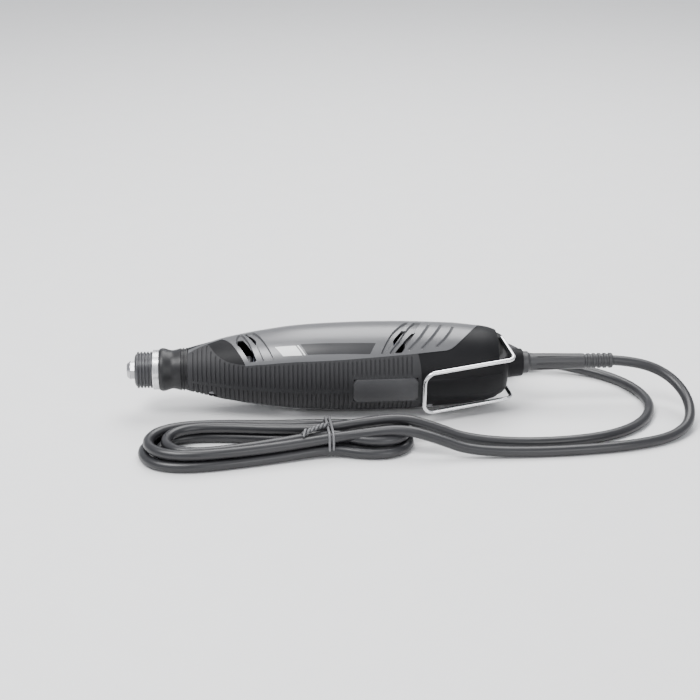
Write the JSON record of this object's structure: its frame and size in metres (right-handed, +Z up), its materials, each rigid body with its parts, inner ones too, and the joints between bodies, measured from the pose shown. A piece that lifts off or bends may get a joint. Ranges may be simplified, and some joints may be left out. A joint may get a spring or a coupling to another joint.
{
  "type": "rotary hobby tool",
  "caption": "Hand-held electric rotary tool on its side: collet nose, silver side panels, ribbed grip, wire hanger, tied power cord with plug.",
  "frame": {"origin": "on the ground under the middle of the tool without its cord", "axes": "+X along the spindle from the nose to the cord end, -Y towards the belly and the hanger, +Z up, on the label side, which leans 12 degrees towards -Y"},
  "size_m": [0.3276, 0.1465, 0.0518],
  "materials": {
    "housing": "black-grey moulded plastic, fine satin texture",
    "trim": "silver-grey lacquered plastic panel, satin gloss",
    "cheek": "dark grey moulded insert, satin",
    "grip": "soft-touch overmoulded grip with fine cross ribs",
    "pad": "smooth soft pad",
    "nose_plastic": "black moulded plastic, satin",
    "nose_metal": "turned light metal ring",
    "nose_collar": "dark ribbed collar, satin",
    "steel": "ground steel",
    "nut": "nickel-plated steel nut",
    "screw": "zinc-plated steel, darkened",
    "bearing": "polished bearing steel",
    "bracket": "glass-filled plastic",
    "coupling": "hard plastic coupling",
    "fan": "moulded fan",
    "laminations": "stacked electrical steel",
    "copper": "copper",
    "winding": "varnished copper wire",
    "brass": "brass",
    "carbon": "pressed carbon",
    "board": "glass-fibre circuit board",
    "capacitor": "potted film capacitor",
    "heatsink": "aluminium fins",
    "control": "moulded control, satin",
    "button": "blue moulded button, satin",
    "switch_case": "moulded switch case",
    "leads": "insulated stranded wire",
    "cord": "black rubber-sheathed mains cord",
    "tie": "plastic-covered twist tie",
    "relief": "moulded rubber sleeve",
    "bail": "bright nickel-plated spring wire",
    "plug": "black moulded plug",
    "pins": "nickel-plated brass pins"
  },
  "bodies": {
    "root": {"housing_left": "housing", "housing_right": "housing", "trim_left": "trim", "trim_right": "trim", "cheek_left": "cheek", "cheek_right": "cheek", "soft_grip_left": "grip", "soft_grip_right": "grip", "belly_pad": "pad", "housing_screws": "screw", "front_bearing_outer": "bearing", "front_bearing_balls": "bearing", "rear_bearing_outer": "bearing", "rear_bearing_balls": "bearing", "rear_bearing_bracket": "bracket", "stator_core": "laminations", "field_coil_upper": "winding", "field_coil_lower": "winding", "brush_yoke": "bracket", "brush_holders": "brass", "carbon_brushes": "carbon", "brush_springs": "steel", "speed_control_board": "board", "suppression_capacitor": "capacitor", "heat_sink": "heatsink", "speed_potentiometer": "switch_case", "power_switch_body": "switch_case", "spindle_lock_spring": "steel", "supply_leads": "leads", "motor_leads": "leads", "cord_clamp": "bracket", "clamp_screws": "screw", "cord_jacket_end": "cord", "strain_relief": "relief", "power_cord_lead": "cord", "cord_hank": "cord", "cord_tie": "tie", "power_cord_tail": "cord", "plug_body": "plug", "plug_pins": "pins"},
    "spindle": {"spindle": "steel", "collet": "steel", "front_bearing_inner": "bearing", "rear_bearing_inner": "bearing", "drive_coupling": "coupling", "cooling_fan": "fan", "armature_shaft": "steel", "armature_core": "laminations", "armature_windings": "winding", "commutator": "copper"},
    "collet_nut": {"collet_nut": "nut"},
    "nose_cap": {"nose_cap": "nose_plastic", "nose_cap_ring": "nose_metal", "nose_cap_collar": "nose_collar"},
    "lock_button": {"spindle_lock_button": "button"},
    "switch_button": {"power_switch_button": "button"},
    "speed_dial": {"speed_dial": "control"},
    "hanger": {"hanger_bail": "bail"}
  },
  "joints": [
    {"name": "spindle_spin", "type": "hinge", "parent": "root", "child": "spindle", "pos_m": [-0.02675, 0.00275, 0.0258], "axis": [1, 0, 0], "continuous": true},
    {"name": "collet_nut_turn", "type": "hinge", "parent": "spindle", "child": "collet_nut", "pos_m": [-0.13475, 0.00275, 0.0258], "axis": [1, 0, 0], "range_deg": [0, 720]},
    {"name": "nose_cap_turn", "type": "hinge", "parent": "root", "child": "nose_cap", "pos_m": [-0.11675, 0.00275, 0.0258], "axis": [1, 0, 0], "range_deg": [0, 1080]},
    {"name": "spindle_lock_press", "type": "slide", "parent": "root", "child": "lock_button", "axis": [0, -0.9781, -0.2079], "range_m": [0, 0.0024], "stiffness_N_per_m": 400, "deforming": ["spindle_lock_spring"]},
    {"name": "power_switch_slide", "type": "slide", "parent": "root", "child": "switch_button", "axis": [-1, 0, 0], "range_m": [0, 0.006]},
    {"name": "speed_dial_turn", "type": "hinge", "parent": "root", "child": "speed_dial", "pos_m": [0.06075, 0.01644, 0.02871], "axis": [0, -0.2079, 0.9781], "range_deg": [0, 270]},
    {"name": "hanger_swing", "type": "hinge", "parent": "root", "child": "hanger", "pos_m": [0.07625, 0.0096, 0.02726], "axis": [0, -0.2079, 0.9781], "range_deg": [0, 128]}
  ]
}
